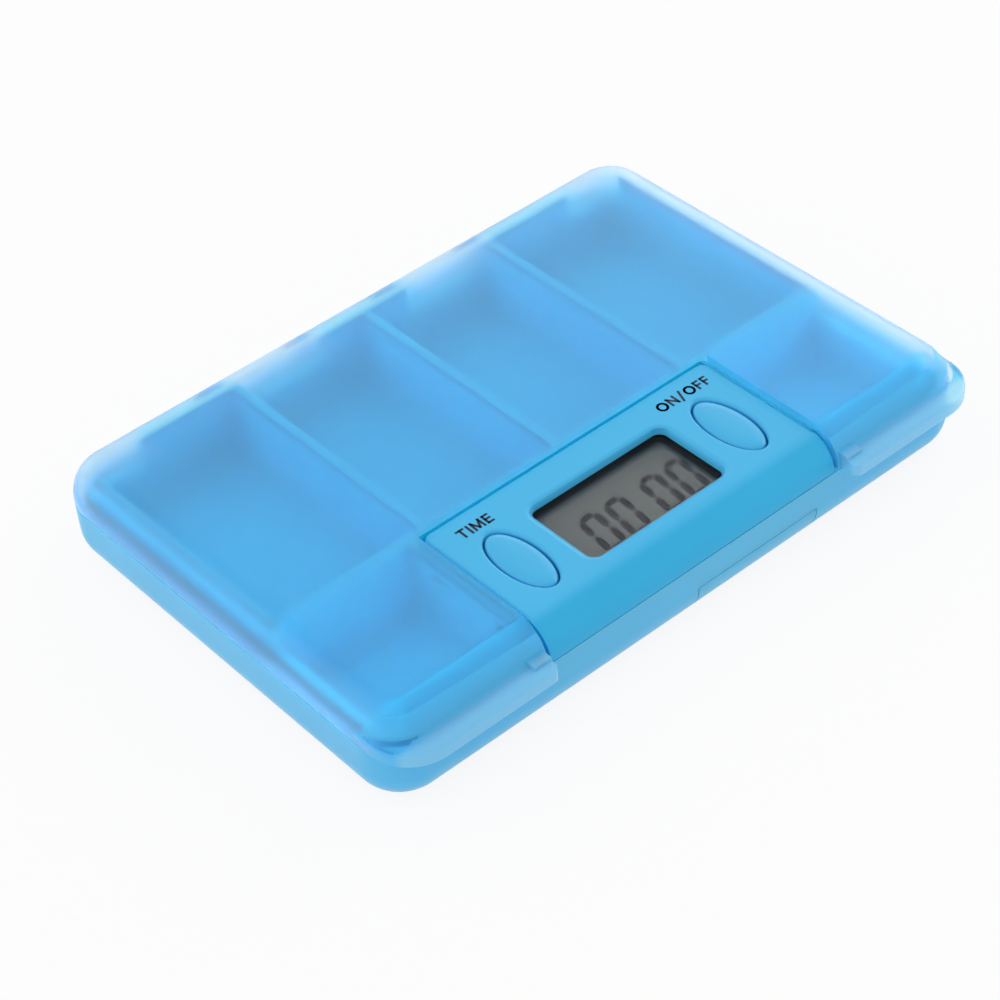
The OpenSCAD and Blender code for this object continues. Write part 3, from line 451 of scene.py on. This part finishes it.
# the front roll and lip take their own copy of the lid's finish: less clear, and with a brighter blue,
# paler still on the lip, which is painted light
front_painted_light_finish = finish_with(moulded_surface, "lid_front_painted_light_polypropylene", front_painted_light_tint,
                           plain={**lid_gloss, "Transmission Weight": front_clearness},
                           roughness=0.42, mottle=0.02)
tree = front_painted_light_finish.node_tree
on_lip = ramped(tree, place_in(tree)["Y"], lip_from + lip_fade, lip_to)
colour_with(front_painted_light_finish, blended(tree, on_lip, front_painted_light_tint, lip_painted_light_tint))
lid = softened("lid", lid_edge, lid_finish)
lid.data.materials.append(front_painted_light_finish)
# painted light: the front roll and lip take the brighter copy of the lid's finish
for face in lid.data.polygons:
    on_front = face.normal.z < front_flat or face.center.y < lip_from + lip_margin
    if face.center.y < front_from and on_front:
        face.material_index = 1
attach(lid, "lid")
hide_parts("lid")

# ---- timer cover ----
# Opaque blue cover of the timer, moulded with the display window's opening and two holes for
# the buttons; it snaps into the bay's side walls. The words are printed in dark blue ink.

cover_blue = (0.066, 0.480, 0.820, 1)
slope_painted_shade_blue, slope_from, slope_to = (0.028, 0.430, 0.760, 1), -0.0308, -0.0325
cover_edge = 0.00012
show_edge, show_margin = 0.0005, 0.0001
back_corner, back_corner_reach = 0.0014, 0.0008  # the snap teeth stand out past the sides
window_y, window_slope, window_reach = -0.02235, 0.0008, (0.0129, 0.0070)
window_moves = (-0.00025, 0.00043, -0.00029, 0.00058)  # left, right, front, back
ink_blue = (0.006, 0.022, 0.055, 1)
ink_thickness = 0.00002
letter_height, stroke_width, letter_gap = 0.0018, 0.00034, 0.00027
round_letter = [(0.5 + 0.5 * math.cos(math.tau * i / 28), 0.5 + 0.5 * math.sin(math.tau * i / 28))
                for i in range(29)]
letters = {  # width, then lines through points in a box one wide and one high
    "T": (0.00098, [[(0, 1), (1, 1)], [(0.5, 0), (0.5, 1)]]),
    "I": (0.0, [[(0, 0), (0, 1)]]),
    "M": (0.0014, [[(0, 0), (0.06, 1), (0.5, 0.1), (0.94, 1), (1, 0)]]),
    "E": (0.00075, [[(1, 1), (0, 1), (0, 0), (1, 0)], [(0, 0.52), (0.9, 0.52)]]),
    "O": (0.0013, [round_letter]),
    "N": (0.00106, [[(0, 0), (0, 1), (1, 0), (1, 1)]]),
    "/": (0.00066, [[(0, -0.2), (1, 1.08)]]),
    "F": (0.00066, [[(0, 0), (0, 1), (1, 1)], [(0, 0.5), (0.9, 0.5)]]),
}

cover_finish = finish_with(moulded_surface, "cover_abs", cover_blue,
                           plain={"Specular IOR Level": 0.3}, roughness=0.38, mottle=0.02)
# painted shade: the cover's front slope is painted a deeper blue than its top
tree = cover_finish.node_tree
colour_with(cover_finish, blended(tree, ramped(tree, place_in(tree)["Y"], slope_from, slope_to),
                                  cover_blue, slope_painted_shade_blue))
low, high = (Vector(corner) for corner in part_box("timer_cover"))
cover_top = high.z


def at_back_corner(at):
    """True on the upright edges at the two back corners."""
    return abs(at.x) > high.x - back_corner_reach and at.y > high.y - show_margin


cover = softened("timer_cover", cover_edge, cover_finish, cover_top - show_margin, show_edge, False,
                 (back_corner, at_back_corner))


def open_wider(mesh, left, right, front, back):
    """Moves the edges of the opening round the display; the right and back ones only at their foot."""
    for vertex in mesh.vertices:
        at = vertex.co
        along = at.y - window_y
        foot = min(1.0, max(0.0, (cover_top - at.z) / window_slope))
        if abs(at.x) < window_reach[0] and abs(along) < window_reach[1]:
            at.x += left if at.x < 0 else right * foot
            at.y += front if along < 0 else back * foot


open_wider(cover.data, *window_moves)
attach(cover, "case")
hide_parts("timer_cover")

ink_finish = finish_with(moulded_surface, "printed_ink", ink_blue,
                         roughness=0.45, mottle=0.05, grain_scale=9000.0)


def add_plate(shape, outline, foot_z, head_z):
    """A flat plate on an outline that runs anticlockwise, from one height to another."""
    foot, head = ([shape.verts.new((x, y, z)) for x, y in outline] for z in (foot_z, head_z))
    shape.faces.new(foot[::-1])
    shape.faces.new(head)
    for i in range(len(foot)):
        j = (i + 1) % len(foot)
        shape.faces.new((foot[i], foot[j], head[j], head[i]))


def printed_word(name, word, x, y):
    """One word of thin raised ink, its left foot at x, y, built stroke by stroke."""
    ink = bmesh.new()
    for letter in word:
        width, lines = letters[letter]
        for line in lines:
            points = [Vector((x + u * width + stroke_width / 2,
                              y + stroke_width / 2 + v * (letter_height - stroke_width)))
                      for u, v in line]
            for a, b in zip(points, points[1:]):
                along = (b - a).normalized() * stroke_width / 2
                aside = Vector((-along.y, along.x))
                add_plate(ink, (a - along - aside, b + along - aside, b + along + aside,
                                a - along + aside), cover_top, cover_top + ink_thickness)
        x += width + stroke_width + letter_gap
    piece = placed(name, ink, ink_finish)
    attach(piece, "case")


printed_word("label_left", "TIME", -0.0209, -0.01475)
printed_word("label_right", "ON/OFF", 0.0134, -0.0147)

# ---- buttons ----
# Two long oval push buttons in the cover's blue, each a moulded pillow with a low crown and
# rounded edge, a collar under the cover that keeps it in, and a plunger above its dome switch.

button_blue = (0.056, 0.465, 0.805, 1)
collar_reach, collar_thickness, collar_depth = 0.00075, 0.0008, 0.0015
plunger_radius = 0.0015
button_sides, plunger_sides = 96, 32
button_shading_angle = math.radians(40)
# ovals of the cap from its side up to the flat of its crown: how far in, how far down
crown = ((0.00012, 0.0006), (0.00016, 0.00046), (0.00024, 0.00034), (0.00036, 0.00024),
         (0.00052, 0.00016), (0.00075, 0.0001), (0.0011, 0.00005), (0.0016, 0.0))

button_finish = finish_with(moulded_surface, "button_abs", button_blue, roughness=0.34, mottle=0.02)


def push_button(node):
    """An oval cap in rings, with its collar and plunger, in the place of a packed button."""
    low, high = (Vector(corner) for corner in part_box(node))
    middle = (low + high) / 2
    half_width = (high.x - low.x) / 2 - collar_reach
    half_length = (high.y - low.y) / 2 - collar_reach
    collar_top = high.z - collar_depth
    collar_middle = collar_top - collar_thickness / 2
    shape = bmesh.new()
    rings = []
    for inward, level in ((crown[0][0], collar_middle), *((i, high.z - down) for i, down in crown)):
        oval = bmesh.ops.create_circle(shape, segments=button_sides, radius=1)["verts"]
        bmesh.ops.scale(shape, vec=(half_width - inward, half_length - inward, 1), verts=oval)
        bmesh.ops.translate(shape, vec=(0, 0, level), verts=oval)
        ring = set(oval)
        rings.append([e for e in shape.edges if ring.issuperset(e.verts)])
    for lower, upper in zip(rings, rings[1:]):
        bmesh.ops.bridge_loops(shape, edges=lower + upper)
    for end in (rings[0], rings[-1]):
        bmesh.ops.edgenet_fill(shape, edges=end)
    bmesh.ops.recalc_face_normals(shape, faces=shape.faces)
    collar = bmesh.ops.create_cone(shape, cap_ends=True, segments=button_sides, radius1=1, radius2=1,
                                   depth=collar_thickness)["verts"]
    bmesh.ops.scale(shape, vec=(half_width + collar_reach, half_length + collar_reach, 1), verts=collar)
    bmesh.ops.translate(shape, vec=(0, 0, collar_middle), verts=collar)
    reach = collar_top - collar_thickness - low.z
    plunger = bmesh.ops.create_cone(shape, cap_ends=True, segments=plunger_sides,
                                    radius1=plunger_radius, radius2=plunger_radius,
                                    depth=reach)["verts"]
    bmesh.ops.translate(shape, vec=(0, 0, low.z + reach / 2), verts=plunger)
    bmesh.ops.translate(shape, vec=(middle.x, middle.y, 0), verts=shape.verts)
    piece = placed(node + "_cap", shape, button_finish)
    for face in piece.data.polygons:
        face.use_smooth = True
    piece.data.set_sharp_from_angle(angle=button_shading_angle)
    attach(piece, node)
    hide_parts(node)


push_button("left_button")
push_button("right_button")

# ---- display ----
# A clear pane under the window, a black foam frame, a grey liquid crystal glass with its
# dark segments, and two black-and-grey rubber strips that carry its contacts to the board.

pane_tint = (0.93, 0.96, 0.97, 1)
pane_density, pane_shadow_density = 0.12, 0.08
foam_black = (0.012, 0.013, 0.015, 1)
foam_edge = 0.00004
foam_moves = (0, 0.00035, 0, 0.00092)  # left, right, front, back
glass_grey = (0.136, 0.151, 0.150, 1)
glass_shade, back_shade, right_shade = (0.012, 0.018, 0.030, 1), (-0.0166, -0.0152), (0.0108, 0.0119)
display_gloss = {"Specular IOR Level": 0.15}
segment_black = (0.011, 0.012, 0.020, 1)
digits_x, digits_y = 0.00182, -0.0235
digit_centres = (-0.00736, -0.00304, 0.00306, 0.00736)
digit_width, digit_height = 0.00255, 0.0067
segment_width, tip_gap, lean = 0.00098, 0.00016, 0.1


def dress(node, material):
    """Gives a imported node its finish."""
    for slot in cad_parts[node].material_slots:
        slot.material = material


pane_finish = finish_with(moulded_surface, "clear_pane", pane_tint, relief=0.000001,
                          plain={"IOR": 1.45, "Transmission Weight": 1.0},
                          roughness=0.03, gloss_spread=0.03)
shadow_density(pane_finish, pane_density, pane_shadow_density)
dress("display_window", pane_finish)

foam_finish = finish_with(moulded_surface, "black_foam", foam_black,
                          relief=0.00003, roughness=0.9, grain_scale=3500.0)
frame_piece = softened("display_gasket", foam_edge, foam_finish)
open_wider(frame_piece.data, *foam_moves)
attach(frame_piece, "case")
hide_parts("display_gasket")

glass_finish = finish_with(moulded_surface, "display_polariser", glass_grey, relief=0.000001,
                           plain=display_gloss, roughness=0.3, mottle=0.05, mottle_scale=80.0)
# the frame shades the glass along its back and right edges
tree = glass_finish.node_tree
at = place_in(tree)
shaded = calculated(tree, "MAXIMUM", ramped(tree, at["Y"], *back_shade),
                    ramped(tree, at["X"], *right_shade))
colour_with(glass_finish, blended(tree, shaded, glass_grey, glass_shade))
dress("display_glass", glass_finish)

segment_finish = finish_with(moulded_surface, "display_segments", segment_black, relief=0.000001,
                             plain=display_gloss, roughness=0.3, mottle=0.08, mottle_scale=300.0)
low, high = (Vector(corner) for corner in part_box("display_segments"))
digits = bmesh.new()


def segment(x, y, length, upright):
    """A six-sided bar, pointed at both ends, leaning with its digit."""
    tip, side = length / 2, segment_width / 2
    outline = [(-tip, 0), (side - tip, -side), (tip - side, -side),
               (tip, 0), (tip - side, side), (side - tip, side)]
    if upright:
        outline = [(-v, u) for u, v in outline]
    outline = [(x + u + lean * (y + v), y + v) for u, v in outline]
    add_plate(digits, [(digits_x + u, digits_y + v) for u, v in outline], low.z, high.z)


for centre in digit_centres:
    for across in (-digit_width / 2, digit_width / 2):
        for up in (-digit_height / 4, digit_height / 4):
            segment(centre + across, up, digit_height / 2 - 2 * tip_gap, True)
    for up in (-digit_height / 2, digit_height / 2):
        segment(centre, up, digit_width - 2 * tip_gap, False)
piece = placed("digits", digits, segment_finish)
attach(piece, "case")
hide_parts("display_segments")

strip_finish = bpy.data.materials.new("contact_strip_rubber")
strip_finish.use_nodes = True
nodes, links = strip_finish.node_tree.nodes, strip_finish.node_tree.links
place = nodes.new("ShaderNodeTexCoord")
layers = nodes.new("ShaderNodeTexWave")
layers.bands_direction = "X"
layers.inputs["Scale"].default_value = 1600
layers.inputs["Distortion"].default_value = 0.3
links.new(place.outputs["Object"], layers.inputs["Vector"])
tones = nodes.new("ShaderNodeValToRGB")
tones.color_ramp.elements[0].color = (0.012, 0.012, 0.014, 1)
tones.color_ramp.elements[1].color = (0.16, 0.16, 0.17, 1)
links.new(layers.outputs["Fac"], tones.inputs["Fac"])
links.new(tones.outputs["Color"], nodes["Principled BSDF"].inputs["Base Color"])
nodes["Principled BSDF"].inputs["Roughness"].default_value = 0.75
dress("contact_strips", strip_finish)

# ---- circuit board ----
# One-sided glass-fibre board with a green solder mask over copper tracks. It carries the
# chip under a drop of black resin, the timing crystal, small ceramic capacitors and the
# stainless domes under the buttons, and is held to the cover by four plated screws.

mask_green = (0.012, 0.12, 0.045, 1)
track_green = (0.03, 0.22, 0.085, 1)

board_finish = bpy.data.materials.new("solder_mask")
board_finish.use_nodes = True
nodes, links = board_finish.node_tree.nodes, board_finish.node_tree.links
shader = nodes["Principled BSDF"]
place = nodes.new("ShaderNodeTexCoord")
tracks = nodes.new("ShaderNodeTexBrick")
tracks.offset = 0.37
tracks.squash = 1.6
tracks.squash_frequency = 3
tracks.inputs["Color1"].default_value = mask_green
tracks.inputs["Color2"].default_value = tuple(0.85 * c for c in mask_green[:3]) + (1,)
tracks.inputs["Mortar"].default_value = track_green
tracks.inputs["Scale"].default_value = 420
tracks.inputs["Mortar Size"].default_value = 0.06
tracks.inputs["Mortar Smooth"].default_value = 0.3
tracks.inputs["Brick Width"].default_value = 1.7
tracks.inputs["Row Height"].default_value = 0.42
links.new(place.outputs["Object"], tracks.inputs["Vector"])
links.new(tracks.outputs["Color"], shader.inputs["Base Color"])
weave = nodes.new("ShaderNodeTexNoise")
weave.inputs["Scale"].default_value = 2500
links.new(place.outputs["Object"], weave.inputs["Vector"])
gloss = nodes.new("ShaderNodeMapRange")
gloss.inputs["To Min"].default_value = 0.22
gloss.inputs["To Max"].default_value = 0.42
links.new(weave.outputs["Fac"], gloss.inputs["Value"])
links.new(gloss.outputs["Result"], shader.inputs["Roughness"])
ridge = nodes.new("ShaderNodeBump")
ridge.inputs["Distance"].default_value = 0.00003
links.new(tracks.outputs["Fac"], ridge.inputs["Height"])
links.new(ridge.outputs["Normal"], shader.inputs["Normal"])
dress("circuit_board", board_finish)

resin_finish = finish_with(moulded_surface, "black_resin", (0.010, 0.010, 0.011, 1), relief=0.00005,
                           roughness=0.22, gloss_spread=0.2, grain_scale=900.0)
dress("chip_cap", resin_finish)

capacitor_finish = finish_with(moulded_surface, "fired_ceramic", (0.42, 0.31, 0.19, 1),
                               relief=0.00001, roughness=0.55, mottle=0.12, mottle_scale=900.0)
dress("capacitors", capacitor_finish)


def build_drawn_metal():
    """Fine lines of drawn or rolled metal along one direction, with dull patches."""
    group, into, out, place = surface_group("drawn_metal", [
        ("Colour", "NodeSocketColor", (0.7, 0.7, 0.7, 1)), ("Line Scale", "NodeSocketFloat", 900.0),
        ("Stretch", "NodeSocketVector", (0.05, 1.0, 1.0)), ("Tarnish", "NodeSocketFloat", 0.12),
        ("Roughness", "NodeSocketFloat", 0.3)])
    drawn = group.nodes.new("ShaderNodeVectorMath")
    drawn.operation = "MULTIPLY"
    group.links.new(place, drawn.inputs[0])
    group.links.new(into["Stretch"], drawn.inputs[1])
    lines = noise(group, drawn.outputs["Vector"], into["Line Scale"], 4)
    dull = calculated(group, "MULTIPLY", noise(group, place, 260, 3), into["Tarnish"])
    tint = calculated(group, "SUBTRACT", 1.0, dull)
    group.links.new(blended(group, 1.0, into["Colour"], tint, blend="MULTIPLY"), out["Colour"])
    group.links.new(calculated(group, "ADD", dull, into["Roughness"]), out["Roughness"])
    group.links.new(lines, out["Height"])
    return group


drawn_metal = build_drawn_metal()
metal = {"Metallic": 1.0}

can_finish = finish_with(drawn_metal, "crystal_can", (0.66, 0.67, 0.69, 1), plain=metal,
                         roughness=0.25)
dress("crystal", can_finish)

dome_finish = finish_with(drawn_metal, "stainless_dome", (0.70, 0.70, 0.72, 1), plain=metal,
                          roughness=0.22, tarnish=0.06)
dress("switch_domes", dome_finish)

screw_finish = finish_with(drawn_metal, "plated_screw", (0.62, 0.63, 0.66, 1), plain=metal,
                           roughness=0.32, tarnish=0.2)
dress("board_screws", screw_finish)

# ---- battery ----
# A 20 mm coin cell in a nickel-plated can, seated in the well behind the door, between a
# spring contact on its rim and one over its face, both cut from nickel-plated brass strip.

cell_finish = finish_with(drawn_metal, "cell_can", (0.70, 0.70, 0.71, 1), plain=metal,
                          roughness=0.24, tarnish=0.1, line_scale=700.0)
dress("coin_cell", cell_finish)

contact_finish = finish_with(drawn_metal, "plated_brass", (0.76, 0.68, 0.48, 1), plain=metal,
                             roughness=0.28, tarnish=0.2)
dress("positive_contact", contact_finish)
dress("negative_contact", contact_finish)

# ---- battery door ----
# Sliding door in the tray's underside, moulded in the tray's polypropylene, with slanted
# sides that run in the tray's floor and four grooves for a fingertip.

door_edge = 0.0002

door = softened("battery_door", door_edge, tray_finish)
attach(door, "battery_door")
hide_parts("battery_door")

# ---- buzzer ----
# The alarm's sounder: a thin brass disc with a fired ceramic wafer silvered on its face, on a
# moulded ring, with two thin sheathed wires soldered to it and to the board.

disc_finish = finish_with(drawn_metal, "buzzer_brass", (0.72, 0.52, 0.22, 1), plain=metal,
                          roughness=0.3, tarnish=0.2)
dress("buzzer_disc", disc_finish)

wafer_finish = finish_with(moulded_surface, "silvered_wafer", (0.62, 0.61, 0.57, 1),
                           relief=0.00001, roughness=0.5, mottle=0.08, mottle_scale=700.0)
dress("buzzer_ceramic", wafer_finish)

sheath_finish = finish_with(moulded_surface, "wire_sheath", (0.42, 0.012, 0.010, 1),
                            roughness=0.4, mottle=0.06, mottle_scale=500.0)
dress("buzzer_wires", sheath_finish)
